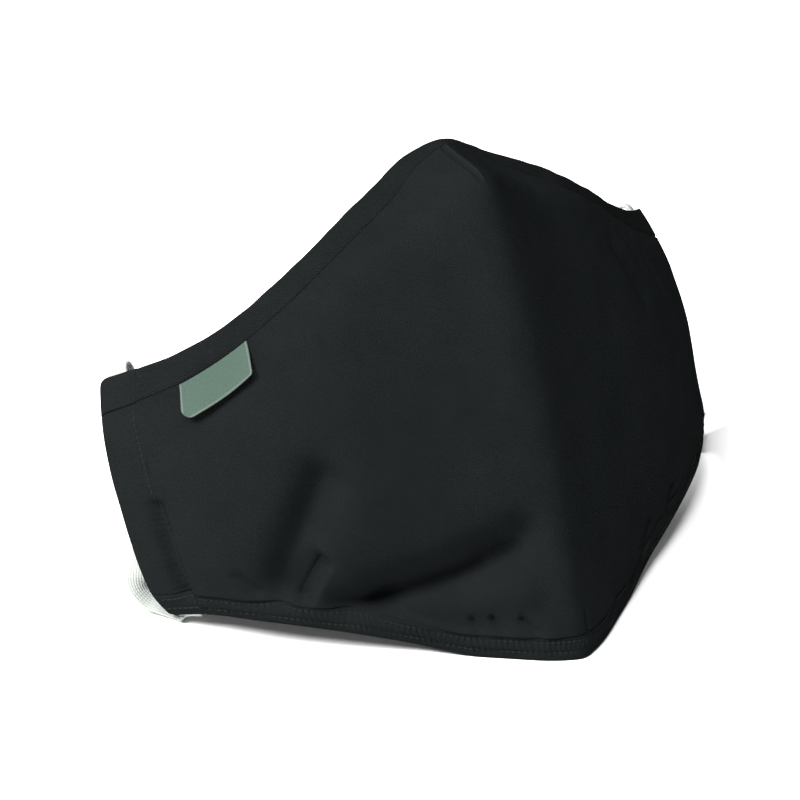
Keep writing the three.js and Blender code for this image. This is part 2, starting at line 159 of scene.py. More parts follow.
def cup(w, v):
    """Places of the smooth cup, as an array of points with x, y and z last."""
    soft = read(RIDGE_ROUNDING, "up", "soft", v)
    u = (np.hypot(w, soft) - soft) / (np.hypot(1, soft) - soft)
    off = v - TIP_SHARE
    turned = np.hypot(off, TIP_TURN + TURN_SPREAD * u * np.sin(np.pi * v))
    below = (turned - off) / 2 / TIP_SHARE
    above = (turned + off) / 2 / (1 - TIP_SHARE)
    bow = RIDGE_BOW * np.sin(np.pi * np.minimum(v / TIP_SHARE, 1))
    forward = TIP_REACH + (CHIN_REACH - TIP_REACH) * below
    forward = forward + (BRIDGE_REACH - TIP_REACH) * above + BOW_FORWARD * bow
    up = TIP_HEIGHT * (1 - below) + (NOSE_HEIGHT - TIP_HEIGHT) * above + BOW_UP * bow
    low_forward = (read(BOTTOM_EDGE, "across", "reach", u) - (1 - u)) * CHIN_REACH
    low_up = read(BOTTOM_EDGE, "across", "up", u) * ARCH_HEIGHT - EAR_LOW_HEIGHT * u
    high_forward = -read(TOP_EDGE, "across", "back", u) * EAR_SET_BACK
    high_forward = high_forward - mix(BRIDGE_REACH, -EAR_SET_BACK, u)
    high_up = read(TOP_EDGE, "across", "up", u) - (1 - u)
    high_up = high_up * (NOSE_HEIGHT - EAR_TOP_HEIGHT)
    fill = FULLNESS * np.sin(np.pi * u) * np.sin(np.pi * v)
    forward = mix(forward, -EAR_SET_BACK * v, u) + mix(low_forward, high_forward, v) + fill
    up = mix(up, mix(EAR_LOW_HEIGHT, EAR_TOP_HEIGHT, v), u) + mix(low_up, high_up, v)
    # The ear edge on the wearer's left bows out less in its lower half.
    left_bow = mix(FAR_BOW, EAR_BOW, smooth(v, *FAR_BOW_RISE))
    bow_out = np.where(w > 0, left_bow, EAR_BOW) * read(EAR_EDGE, "up", "bow", v)
    x = w * (HALF_WIDTH + bow_out) + np.sign(w) * fill
    return np.stack(np.broadcast_arrays(x, ORIGIN_AHEAD - forward, np.maximum(up, 0)), -1)


# The frame's origin lies this far ahead of the lower ear corners. It is measured on the cup,
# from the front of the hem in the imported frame.
ORIGIN_AHEAD = 0
ORIGIN_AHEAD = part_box("bottom_hem")[0].y - float(cup(0.0, 0.0)[1])


def run_length(points):
    return np.linalg.norm(np.diff(points, axis=-2), axis=-1).sum(-1)


LENGTH_KEYS = np.linspace(0, 1, LENGTH_COLUMNS + 1)
SHARES = np.linspace(0, 1, LENGTH_STEPS + 1)
UP_LENGTHS = run_length(cup(LENGTH_KEYS[:, None], SHARES))
ACROSS_LENGTHS = run_length(cup(SHARES, LENGTH_KEYS[:, None]))


def length_up(w):
    return np.interp(np.abs(w), LENGTH_KEYS, UP_LENGTHS)


def length_across(v):
    return np.interp(v, LENGTH_KEYS, ACROSS_LENGTHS)


def unit(vectors):
    return vectors / np.linalg.norm(vectors, axis=-1, keepdims=True)


def directions(w, v):
    """Directions of the cloth: across it, up it and out of it."""
    w, v = np.broadcast_arrays(np.asarray(w, float), np.asarray(v, float))
    across = unit(cup(np.minimum(w + NEAR, 1), v) - cup(np.maximum(w - NEAR, -1), v))
    rise = unit(cup(w, np.minimum(v + NEAR, 1)) - cup(w, np.maximum(v - NEAR, 0)))
    return across, rise, unit(np.cross(across, rise))


# Creases, hollows and puffs of the worn-in cup, and the gathers beside its casings. Each runs
# over the cloth of one side from one place to another. Depth and the reach above and below
# its line are shares of the chin's reach, and a puff's depth is under zero.
FOLD_COLUMNS = "side across up to_across to_up depth above below"
FOLDS = (
    (-1, 0.57, 0.07, 0.11, 0.235, 0.065, 0.11, 0.12),
    (-1, 0.40, 0.10, 0.13, 0.13, -0.03, 0.10, 0.10),
    (-1, 0.55, 0.43, 0.74, 0.10, 0.035, 0.12, 0.12),
    (-1, 0.69, 0.12, 0.62, 0.23, 0.018, 0.04, 0.04),
    (1, 0.49, 0.77, 0.57, 0.64, 0.022, 0.06, 0.06),
    (1, 0.57, 0.07, 0.15, 0.23, 0.012, 0.11, 0.12),
    (-1, 0.922, 0.46, 0.924, 0.10, 0.030, 0.036, 0.036),
    (1, 0.922, 0.46, 0.924, 0.10, 0.018, 0.036, 0.036),
)
FLAT_SPAN = float(length_across(0.5))
FOLD_SHARPNESS = 2
HEM_FADE = 0.1
BAND_FADE = 0.06
RIDGE_FADE = 0.08
LEVEL_REACH = 0.08
TINY = 1e-9


def fold_depth(w, v, folds):
    """How deep the folds are at each place, above zero into the cloth."""
    w, v = np.broadcast_arrays(np.asarray(w, float), np.asarray(v, float))
    here = np.stack([np.abs(w) * FLAT_SPAN, v * length_up(w)], -1)
    depth = np.zeros(w.shape)
    for row in folds:
        fold = dict(zip(FOLD_COLUMNS.split(), row))
        across = np.array([fold["across"], fold["to_across"]])
        up = np.array([fold["up"], fold["to_up"]])
        start, end = np.stack([across * FLAT_SPAN, up * length_up(across)], -1)
        run = end - start
        share = np.clip((here - start) @ run / (run @ run), 0, 1)
        off = here - start - share[..., None] * run
        away = np.linalg.norm(off, axis=-1)
        high = 0.5 + 0.5 * off[..., 1] / (away + TINY)
        reach = mix(fold["below"], fold["above"], high) * CHIN_REACH
        dent = fold["depth"] * CHIN_REACH * np.exp(-FOLD_SHARPNESS * (away / reach) ** 2)
        depth += np.where(fold["side"] * w > 0, dent, 0)
    depth = depth * smooth(v, 0, HEM_FADE) * smooth(1 - v, 0, BAND_FADE)
    return depth * smooth(np.abs(w), 0, RIDGE_FADE)


def place(w, v, lift=0.0):
    """Places of the folded cloth, lifted out of it. The lift is level at the bottom edge."""
    w, v, lift = np.broadcast_arrays(*(np.asarray(x, float) for x in (w, v, lift)))
    at = cup(w, v)
    out = directions(w, v)[2]
    out[..., 2] *= smooth(v, 0, LEVEL_REACH)
    move = lift - fold_depth(w, v, FOLDS)
    aside = np.abs(at[..., 0]) + TINY
    out[..., 0] *= aside / (aside + 2 * np.abs(lift))
    return at + out * move[..., None]


# Each ear loop is one flat white elastic, knitted in fine cords. It goes up through the
# casing at the ear edge and round behind it, and its two ends are sewn inside the channel.
CLOTH_THICKNESS = 0.0018
CASING_WIDTH = 0.010
CASING_WALL = 0.0011
CHANNEL_WIDTH = 0.0068
CHANNEL_DEPTH = 0.0022
STITCH_MARGIN = 0.0022
ELASTIC_WIDTH = 0.0062
ELASTIC_THICKNESS = 0.0012
ELASTIC_CORDS = 9
CORD_POINTS = 6
CORD_RELIEF = 0.00016
EDGE_SQUARENESS = 8
KNIT_PITCH = 0.0009
KNIT_SLANT = 5.0
ELASTIC_SHADE = (0.31, 0.33, 0.31, 1)
ELASTIC_WHITE = (0.345, 0.37, 0.345, 1)
ELASTIC_JOINT = 0.7
MOUTH_MARGIN = 0.01
CHANNEL_STEPS = 6
ELASTIC_TURN = 1.3
LOOP_STEPS = 300
CURVE_STEPS = 24
CASING_THICKNESS = 2 * CASING_WALL + CHANNEL_DEPTH
CHANNEL_MIDDLE = STITCH_MARGIN + CHANNEL_WIDTH / 2
# Places along the loop outside its casing: the height as a share of the casing, how far
# beyond and behind it in widths of the elastic, and how far the elastic turns over sideways.
ELASTIC_ROUTE = (
    (1.035, 0.08, 0.42, 0),
    (1.05, 0.12, 0.75, 0),
    (1.035, 0.12, 1.15, 0),
    (0.99, 0.1, 1.45, 0),
    (0.9, 0.02, 1.9, 0),
    (0.79, 0.0, 2.4, 0),
    (0.67, 0.02, 2.7, 0),
    (0.55, 0.12, 2.65, 0),
    (0.44, 0.34, 2.3, 0),
    (0.35, 0.66, 1.85, 0),
    (0.27, 1.05, 1.5, 0),
    (0.19, 1.45, 1.25, 0.2),
    (0.12, 1.78, 1.12, 0.6),
    (0.06, 1.92, 1.02, 0.9),
    (0.02, 1.75, 0.95, 1),
    (0.0, 1.3, 0.9, 1),
    (-0.02, 0.75, 0.8, 0.6),
    (-0.03, 0.25, 0.64, 0.15),
    (-0.022, 0.02, 0.42, 0),
)


def casing_place(side, in_from_seam, behind, v):
    w = side * (1 - (CASING_WIDTH - in_from_seam) / length_across(v))
    return place(w, v, -np.asarray(behind, float))


def channel_directions(side, v):
    return directions(side * (1 - (CASING_WIDTH - CHANNEL_MIDDLE) / length_across(v)), v)


def round_casing(side, along, beyond, behind):
    """A place round a casing, also past its mouths and beyond the ear edge."""
    v = np.clip(along, 0, 1)
    across, rise, _ = channel_directions(side, v)
    start = casing_place(side, CHANNEL_MIDDLE, behind, v)
    return start + across * side * beyond + rise * (along - v) * length_up(1)


def loop_line(side):
    """The elastic's middle line: up the channel, round behind it and up again to the joint.

    A fourth column says how far the elastic turns over sideways, to lie on the table.
    """
    up = np.linspace(ELASTIC_JOINT, 1 - MOUTH_MARGIN, CHANNEL_STEPS + 1)
    again = np.linspace(MOUTH_MARGIN, ELASTIC_JOINT - MOUTH_MARGIN, CHANNEL_STEPS + 1)
    up, again = (
        np.insert(casing_place(side, CHANNEL_MIDDLE, CASING_THICKNESS / 2, v), 3, 0, axis=1)
        for v in (up, again)
    )
    outside = [
        [*round_casing(side, along, beyond * ELASTIC_WIDTH, behind * ELASTIC_WIDTH), turn]
        for along, beyond, behind, turn in ELASTIC_ROUTE
    ]
    return smooth_line(np.concatenate([up, outside, again]), LOOP_STEPS)


def lengths_along(line):
    """How far along the line each of its points lies."""
    return np.concatenate([[0], np.cumsum(np.linalg.norm(np.diff(line, axis=0), axis=1))])


def smooth_line(points, steps):
    """A smooth line through the points, in even steps. Places are the first three columns."""
    ends = np.stack([2 * points[0] - points[1], 2 * points[-1] - points[-2]])
    knots = np.concatenate([ends[:1], points, ends[1:]])
    gaps = np.sqrt(np.linalg.norm(np.diff(knots[:, :3], axis=0), axis=1))
    t = np.linspace(0, 1, CURVE_STEPS, endpoint=False)[:, None]
    line = []
    for i in range(1, len(knots) - 2):
        before, step, after = gaps[i - 1 : i + 2]
        chord = knots[i + 1] - knots[i]
        last, here, ahead, beyond = knots[i - 1 : i + 3]
        start = (here - last) / before - (ahead - last) / (before + step)
        end = (beyond - ahead) / after - (beyond - here) / (step + after)
        start = (start + chord / step) * step
        end = (chord / step + end) * step
        bend = start + end - 2 * chord
        line.append(knots[i] + t * (start + t * (3 * chord - 2 * start - end + t * bend)))
    line = np.concatenate([*line, points[-1:]])
    reach = lengths_along(line[:, :3])
    even = np.linspace(0, reach[-1], steps + 1)
    return np.stack([np.interp(even, reach, column) for column in line.T], -1)


class Value:
    """One output of a shader node, which can be used in expressions."""

    def __init__(self, finish, socket):
        self.finish = finish
        self.socket = socket

    def math(self, operation, *values):
        return self.finish.node("ShaderNodeMath", {"operation": operation}, dict(enumerate(values)))

    def __add__(self, other):
        return self.math("ADD", self, other)

    def __sub__(self, other):
        return self.math("SUBTRACT", self, other)

    def __rsub__(self, other):
        return self.math("SUBTRACT", other, self)

    def __mul__(self, other):
        return self.math("MULTIPLY", self, other)

    def __abs__(self):
        return self.math("ABSOLUTE", self)

    def also(self, name):
        """Another output of the same node."""
        return Value(self.finish, self.socket.node.outputs[name])

    def sine(self):
        return self.math("SINE", self)

    def cut(self):
        return self.math("FRACT", self)


class Finish:
    """A material in the making. node() adds any node and gives one of its outputs."""

    def __init__(self, name):
        self.material = bpy.data.materials.new(name)
        self.material.use_nodes = True
        self.tree = self.material.node_tree
        self.tree.nodes.clear()

    def node(self, kind, settings=None, inputs=None, output=0):
        node = self.tree.nodes.new(kind)
        for name, value in (settings or {}).items():
            setattr(node, name, value)
        for name, value in (inputs or {}).items():
            if isinstance(value, Value):
                self.tree.links.new(value.socket, node.inputs[name])
            else:
                node.inputs[name].default_value = value
        return Value(self, node.outputs[output]) if node.outputs else None

    def noise(self, where, pitch, detail=2.0, roughness=0.6):
        inputs = {"Vector": where, "Scale": 1 / pitch, "Detail": detail, "Roughness": roughness}
        return self.node("ShaderNodeTexNoise", None, inputs)

    def blend(self, mask, first, second):
        settings = {"data_type": "RGBA", "clamp_factor": True}
        return self.node("ShaderNodeMix", settings, {0: mask, 6: first, 7: second}, 2)

    def bump(self, height, distance, strength):
        inputs = {"Height": height, "Distance": distance, "Strength": strength}
        return self.node("ShaderNodeBump", None, inputs)

    def done(self, **sockets):
        inputs = {name.replace("_", " "): value for name, value in sockets.items()}
        surface = self.node("ShaderNodeBsdfPrincipled", None, inputs)
        self.node("ShaderNodeOutputMaterial", None, {"Surface": surface})
        return self.material


def piece_from(name, points, faces, uv, material):
    """A closed mesh piece with its faces outwards, and a place on the flat cloth for each point."""
    corners = points[faces]
    turned = np.cross(corners[:, 1] - corners[:, 0], corners[:, 2] - corners[:, 0])
    turned += np.cross(corners[:, 2] - corners[:, 0], corners[:, 3] - corners[:, 0])
    if (corners.mean(1) * turned).sum() < 0:
        faces = faces[:, ::-1]
    mesh = bpy.data.meshes.new(name)
    mesh.from_pydata(points.tolist(), [], faces.tolist())
    mesh.validate()
    corner_points = np.empty(len(mesh.loops), int)
    mesh.loops.foreach_get("vertex_index", corner_points)
    mesh.uv_layers.new(name="cloth").data.foreach_set("uv", uv[corner_points].ravel())
    mesh.polygons.foreach_set("use_smooth", np.ones(len(mesh.polygons), bool))
    mesh.materials.append(material)
    piece = bpy.data.objects.new(name, mesh)
    bpy.context.collection.objects.link(piece)
    return piece


def wall_faces(rings):
    """The number of each point of the rings and of the next in its ring, and the faces."""
    index = np.arange(rings.shape[0] * rings.shape[1]).reshape(rings.shape[:2])
    after = np.roll(index, -1, axis=1)
    walls = np.stack([index[:-1], index[1:], after[1:], after[:-1]], -1).reshape(-1, 4)
    return index, after, walls


def loft(name, rings, uv, material):
    """A closed piece through rings of places, each ring folded flat on itself."""
    index, _, walls = wall_faces(rings)
    count = rings.shape[1]
    k = np.arange(count // 2 - 1)
    first = np.stack([k, k + 1, count - 2 - k, count - 1 - k], -1)
    last = index[-1, 0] + first[:, ::-1]
    faces = np.concatenate([walls, first, last])
    return piece_from(name, rings.reshape(-1, 3), faces, uv.reshape(-1, 2), material)


def knitted_elastic():
    """White elastic, its fine cords run lengthwise and its stitches slant across each cord."""
    finish = Finish("loop_elastic")
    where = finish.node("ShaderNodeUVMap", {"uv_map": "cloth"})
    axes = finish.node("ShaderNodeSeparateXYZ", None, {"Vector": where})
    across, along = axes, axes.also("Y")
    cord = (across * (ELASTIC_CORDS / ELASTIC_WIDTH)).cut()
    slant = abs(cord - 0.5)
    stitches = (along * (2 * math.pi / KNIT_PITCH) + slant * KNIT_SLANT).sine()
    fuzz = finish.noise(where, pitch=0.0004)
    height = stitches * 0.5 + slant * -0.8 + fuzz * 0.5
    normal = finish.bump(height, distance=0.00007, strength=0.7)
    tone = finish.blend(stitches * 0.25 + fuzz * 0.5, ELASTIC_SHADE, ELASTIC_WHITE)
    return finish.done(Base_Color=tone, Roughness=0.85, Normal=normal)


def elastic_section():
    """One turn round the flat elastic, with a low ridge for each knitted cord."""
    across = np.linspace(-1, 1, CORD_POINTS * ELASTIC_CORDS + 1)[1:-1]
    body = (ELASTIC_THICKNESS / 2 - CORD_RELIEF) * (1 - np.abs(across) ** EDGE_SQUARENESS) ** 0.5
    ridges = CORD_RELIEF * np.abs(np.cos(np.pi / 2 * (across * ELASTIC_CORDS + ELASTIC_CORDS - 1)))
    face = np.stack([across * ELASTIC_WIDTH / 2, body + ridges], -1)
    return np.concatenate([face, (face * (1, -1))[::-1]])


def dress(piece, slot, *nodes):
    """The piece rides on the mask and stands for these solids of its frame."""
    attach(piece, "root")
    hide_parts(*nodes)


def ear_loop(name, node, side, material):
    line = loop_line(side)
    line, turn = line[:, :3], line[:, 3]
    ahead = unit(np.gradient(line, axis=0))
    level = (line[:, 2] - EAR_LOW_HEIGHT) / (EAR_TOP_HEIGHT - EAR_LOW_HEIGHT)
    across = channel_directions(side, np.clip(level, 0, 1))[0]
    across[:, 1] -= side * ELASTIC_TURN * turn
    across = unit(across - (across * ahead).sum(-1, keepdims=True) * ahead)
    face = np.cross(ahead, across)
    section = elastic_section()
    rings = line[:, None] + across[:, None] * section[:, :1] + face[:, None] * section[:, 1:]
    reach = np.linspace(0, run_length(line), len(line))
    uv = np.stack(np.broadcast_arrays(section[:, 0], reach[:, None]), -1)
    piece = loft(name, rings, uv, material)
    dress(piece, "loop_elastic", node)
    tuple(casing_place(side, CHANNEL_MIDDLE, CASING_THICKNESS / 2, 1.0).tolist())


elastic_finish = knitted_elastic()
ear_loop("elastic_right", "ear_loop_right", -1, elastic_finish)
ear_loop("elastic_left", "ear_loop_left", 1, elastic_finish)


# The cup's panel is two layers of brushed black cotton, sewn with a dart over the nose and
# a short one under the chin. Its edges roll over into the seams of band, hem and casings,
# and the stitching draws the cloth into small puckers there.
BAND_WIDTH = 0.009
HEM_WIDTH = 0.0065
BAND_NARROWING = 0.45
NARROW_REACH = 0.12
SEAM_GAP = 0.0003
SEAM_TUCK = 0.0003
PANEL_COLUMNS = 280
PANEL_ROWS = 132
CLOTH_SPAN = 0.22
CLOTH_RISE = 0.1
ROLL_REACH = 0.0008
ROLL_DEPTH = 0.0010
INNER_ROLL = 0.4
INNER_RELIEF = 0.5
CASING_SEAM_ROLL = 0.3
HELD_BY_SEAM = (-0.0008, 0.0024)
STATION_POWER = 1.35
ROW_POWER = 1.15
WAVE_CELLS = 1024
HILL_CELLS = 256
BLACK = (0.0045, 0.0054, 0.0056)
LIGHT_BLACK = (0.0109, 0.0126, 0.0129)
TWILL_PITCH = 0.00042
TWILL_SLANT = 0.7
TWILL_WANDER = 5.0
HEM_PUFF = 0.0005
BAND_PUFF = 0.0004
DART_RIDGE = 0.0007
DART_GROOVE = 0.0009
NOSE_DART_ASIDE = -0.0012
CHIN_DART_ASIDE = 0.003
# Close steps of points at a rolled edge, as shares of the roll's reach, and how far from
# the edge the even points start.
FINE_STEPS = np.array([0, 0.05, 0.15, 0.3, 0.5, 0.75, 1.0, 1.5])
CLEAR_OF_FINE = 1.8
# Sharper folds of the panel alone, with the same columns as the others.
FINE_FOLDS = (
    (-1, 0.56, 0.035, 0.13, 0.20, 0.040, 0.075, 0.012),
    (-1, 0.565, 0.045, 0.21, 0.172, 0.042, 0.04, 0.010),
    (-1, 0.40, 0.105, 0.14, 0.195, 0.055, 0.055, 0.27),
    (-1, 0.57, 0.44, 0.70, 0.15, 0.042, 0.095, 0.095),
    (-1, 0.672, 0.088, 0.602, 0.205, 0.066, 0.048, 0.017),
    (-1, 0.265, 0.078, 0.248, 0.05, 0.022, 0.018, 0.02),
    (-1, 0.215, 0.08, 0.195, 0.05, 0.026, 0.02, 0.02),
    (-1, 0.145, 0.078, 0.108, 0.048, 0.026, 0.02, 0.025),
    (-1, 0.80, 0.17, 0.775, 0.12, 0.018, 0.04, 0.03),
    (1, 0.49, 0.772, 0.555, 0.65, 0.016, 0.018, 0.018),
    (1, 0.575, 0.83, 0.63, 0.69, 0.012, 0.015, 0.015),
    (1, 0.655, 0.85, 0.71, 0.65, 0.016, 0.02, 0.018),
    (1, 0.605, 0.105, 0.56, 0.075, 0.011, 0.02, 0.02),
    (1, 0.45, 0.08, 0.38, 0.055, 0.02, 0.04, 0.04),
)


def band_wide(w):
    return BAND_WIDTH * (1 - BAND_NARROWING * bell(w, NARROW_REACH))


def band_line(w):
    return 1 - band_wide(w) / length_up(w)


def hem_line(w):
    return HEM_WIDTH / length_up(w)


def casing_line(v):
    return 1 - CASING_WIDTH / length_across(v)


def rolled(distance, reach=ROLL_REACH, depth=ROLL_DEPTH):
    """How far cloth rolls away from its face, this near to its sewn edge."""
    near_edge = np.clip(1 - distance / reach, 0, 1)
    return depth * (1 - np.sqrt(1 - near_edge**2))


def fade(distance, reach):
    """1 at a seam, dying away from it."""
    return np.exp(-distance / reach)


def wander(along, height, pitch, seed):
    """An irregular smooth wave up to this height, whose bumps are about a pitch apart."""
    heights = np.random.default_rng(seed).uniform(-1, 1, WAVE_CELLS)
    at = along / pitch + WAVE_CELLS // 2
    cell = np.floor(at).astype(int)
    t = at - cell
    t = t * t * (3 - 2 * t)
    return height * mix(heights[cell], heights[cell + 1], t)


def mottle(across, up, height, pitch, seed):
    """Irregular smooth hills up to this height over the cloth."""
    heights = np.random.default_rng(seed).uniform(-1, 1, (HILL_CELLS, HILL_CELLS))
    cells = []
    shares = []
    for value in (across, up):
        at = value / pitch + HILL_CELLS // 2
        cells.append(np.floor(at).astype(int))
        t = at - cells[-1]
        shares.append(t * t * (3 - 2 * t))
    (i, j), (s, t) = cells, shares
    low = mix(heights[i, j], heights[i + 1, j], s)
    high = mix(heights[i, j + 1], heights[i + 1, j + 1], s)
    return height * mix(low, high, t)


def stations(count, power, low_fine, high_fine):
    """Shares from 0 to 1, closer together in the middle and at both rolled edges."""
    t = np.linspace(-1, 1, count + 1)
    even = np.sign(t) * np.abs(t) ** power * 0.5 + 0.5
    even = even[(even > low_fine * CLEAR_OF_FINE) & (even < 1 - high_fine * CLEAR_OF_FINE)]
    return np.concatenate([FINE_STEPS * low_fine, even, 1 - FINE_STEPS[::-1] * high_fine])


def cotton(name, dark, light, relief):
    """Brushed cotton twill: slanting threads, short fuzz and uneven black dye."""
    finish = Finish(name)
    where = finish.node("ShaderNodeUVMap", {"uv_map": "cloth"})
    axes = finish.node("ShaderNodeSeparateXYZ", None, {"Vector": where})
    across, up = axes, axes.also("Y")
    turns = TWILL_SLANT * 2 * math.pi / TWILL_PITCH
    uneven = finish.noise(where, pitch=0.0016)
    twill = ((across + up) * turns + uneven * TWILL_WANDER).sine()
    threads = ((across - up) * turns).sine()
    fuzz = finish.noise(where, pitch=0.0005, detail=4.0)
    height = twill * 0.5 + threads * 0.25 + fuzz * 1.6
    cloudy = finish.noise(where, pitch=0.014, detail=3.0)
    mask = fuzz * 0.75 + cloudy * 0.45 + twill * 0.06 - 0.1
    tone = finish.blend(mask, (*dark, 1), (*light, 1))
    return finish.done(
        Base_Color=tone,
        Roughness=0.9,
        Specular_IOR_Level=0.0,
        Normal=finish.bump(height, distance=relief, strength=0.9),
    )


def cheek_relief(across, up, to_hem, to_band, to_casing):
    """The panel's small relief: seam puffs and puckers, dart ridge and dart seams."""
    lift = HEM_PUFF * fade(to_hem, reach=0.005) + BAND_PUFF * fade(to_band, reach=0.004)
    lift += wander(across, height=0.00035, pitch=0.0045, seed=11) * fade(to_hem, reach=0.006)
    lift += wander(across, height=0.00016, pitch=0.006, seed=12) * fade(to_band, reach=0.006)
    lift += wander(up, height=0.00025, pitch=0.003, seed=13) * fade(to_casing, reach=0.003)
    lift += mottle(across, up, height=0.00022, pitch=0.014, seed=14)
    lift += mottle(across, up, height=0.00008, pitch=0.006, seed=15)
    above_tip = up - length_up(0) * TIP_SHARE
    on_nose = smooth(above_tip, low=-0.001, high=0.004) * smooth(to_band, low=0, high=0.001)
    lift += DART_RIDGE * bell(across, reach=0.0006) * on_nose
    lift -= DART_GROOVE * bell(across - NOSE_DART_ASIDE, reach=0.0005) * on_nose
    on_chin = 1 - smooth(to_hem, low=0.005, high=0.008)
    return lift - DART_GROOVE * bell(across - CHIN_DART_ASIDE, reach=0.0006) * on_chin


def panel_grid():
    """Places w and v of the panel's points, which reach a little under every seam."""
    fine_across, fine_up = ROLL_REACH / CLOTH_SPAN, ROLL_REACH / CLOTH_RISE
    t = stations(PANEL_COLUMNS, STATION_POWER, fine_across, fine_across)[:, None] * 2 - 1
    s = stations(PANEL_ROWS, power=1.0, low_fine=fine_up, high_fine=fine_up)[None, :]
    guess = mix(hem_line(t), band_line(t), s**ROW_POWER)
    w = t * (casing_line(guess) + SEAM_TUCK / length_across(guess))
    tuck = SEAM_TUCK / length_up(w)
    return w, mix(hem_line(w) - tuck, band_line(w) + tuck, s**ROW_POWER)


def panel_cloth():
    w, v = panel_grid()
    across, up = w * length_across(v), v * length_up(w)
    to_hem = up - HEM_WIDTH + SEAM_TUCK
    to_band = (1 - v) * length_up(w) - band_wide(w) + SEAM_TUCK
    to_casing = (1 - np.abs(w)) * length_across(v) - CASING_WIDTH + SEAM_TUCK
    to_seam = np.minimum(to_hem, to_band)
    edge_roll = rolled(to_seam) + CASING_SEAM_ROLL * rolled(to_casing)
    edge_roll = np.minimum(edge_roll, ROLL_DEPTH)
    relief = cheek_relief(across, up, to_hem, to_band, to_casing)
    relief = relief - fold_depth(w, v, FINE_FOLDS) * smooth(to_seam, *HELD_BY_SEAM)
    outer = place(w, v, relief - edge_roll)
    inner = place(w, v, INNER_RELIEF * relief - CLOTH_THICKNESS + INNER_ROLL * edge_roll)
    uv = np.stack([across, up], -1)
    rings = np.concatenate([outer, inner[:, ::-1]], 1)
    ring_uv = np.concatenate([uv, uv[:, ::-1]], 1)
    return loft("cup_cloth", rings, ring_uv, cotton_finish)


cotton_finish = cotton("cup_cotton", BLACK, LIGHT_BLACK, relief=0.00014)
panel = panel_cloth()
dress(panel, "cup_cotton", "cup_panel")


# The top band is a strip of the same cotton, folded over the cup's upper edge and caught in
# one seam that sinks between the two cloths. It runs from casing to casing over the nose.
BAND_THICKNESS = 0.0022
BAND_COLUMNS = 230
BAND_ROWS = 18
BAND_TURN_STEPS = 12
BAND_CROWN = 0.0003
BAND_SINK = 0.25
BAND_BLACK = (0.0036, 0.0043, 0.0045)
BAND_LIGHT = (0.0146, 0.0166, 0.0170)


def band_cloth(material):
    """The band from its seam up the outside, over the cup's edge and down the inside."""
    fine = ROLL_REACH / (2 * FLAT_SPAN)
    t = stations(BAND_COLUMNS, STATION_POWER, fine, fine)[:, None] * 2 - 1
    half = BAND_THICKNESS / 2
    share = stations(BAND_ROWS, power=1.0, low_fine=ROLL_REACH / BAND_WIDTH, high_fine=0.02)
    wide = band_wide(t)
    face = mix(wide, half, share)
    turn = np.linspace(0, np.pi, BAND_TURN_STEPS + 1)[1:-1]
    over_edge = (len(t), len(turn))
    over_down = np.broadcast_to(half * (1 - np.sin(turn)), over_edge)
    down = np.concatenate([face, over_down, face[:, ::-1]], 1)
    v = 1 - down / length_up(t)
    w = t * (casing_line(v) + SEAM_TUCK / length_across(v))
    roll = np.maximum(rolled(wide - face), rolled((1 - np.abs(t)) * length_across(1.0)))
    crown = BAND_CROWN * np.sin(np.pi * share) - roll
    behind = np.interp(share, (0, BAND_SINK), (-CLOTH_THICKNESS, -BAND_THICKNESS))
    inner = behind + INNER_ROLL * roll
    over_lift = np.broadcast_to(half * (np.cos(turn) - 1), over_edge)
    lift = np.concatenate([crown, over_lift, inner[:, ::-1]], 1)
    across = w * length_across(1.0)
    relief = mottle(across, -down, height=0.00014, pitch=0.005, seed=21)
    relief += wander(across, height=0.00012, pitch=0.0035, seed=22)
    places = place(w, 1 - down / length_up(w), lift + relief)
    return loft("band_cloth", places, np.stack([across, -down], -1), material)


band_finish = cotton("band_cotton", BAND_BLACK, BAND_LIGHT, relief=0.0003)
band = band_cloth(band_finish)
dress(band, "band_cotton", "top_band")


# The bottom hem is the cup's lower edge turned in twice and sewn with two rows of short
# stitches, which draw it into fine ribs. Under the chin it lies flat on the table.
HEM_THICKNESS = 0.0024
HEM_ROWS = (0.0013, 0.0041)
HEM_CROWN = 0.00035
HEM_DIP = 0.0005
DIP_WAVE = 0.4
HEM_RIB = 0.00011
HEM_EDGE_ROLL = 0.6
HEM_SINK = 0.5
HEM_UNDERSIDE = np.array([-0.35, -0.65])
STITCH_PITCH = 0.0016
HEM_COLUMNS = 620
HEM_LINES = 26


def hem_relief(across, drop):
    """The hem's face: a dip along each row of stitches, and ribs drawn up between them."""
    turns = 2 * np.pi * across / STITCH_PITCH
    dips = sum(bell(drop - row, reach=0.0005) for row in HEM_ROWS)
    dips = dips * (1 - DIP_WAVE + DIP_WAVE * np.cos(turns))
    ribs = HEM_RIB * np.sin(turns + wander(across, height=2, pitch=0.006, seed=31))
    ribs = ribs + wander(across, height=0.0002, pitch=0.0028, seed=32)
    crown = HEM_CROWN * np.sin(np.pi * np.clip(drop / HEM_WIDTH, 0, 1))
    return crown - HEM_DIP * dips + ribs * bell(drop - sum(HEM_ROWS) / 2, reach=0.0014)


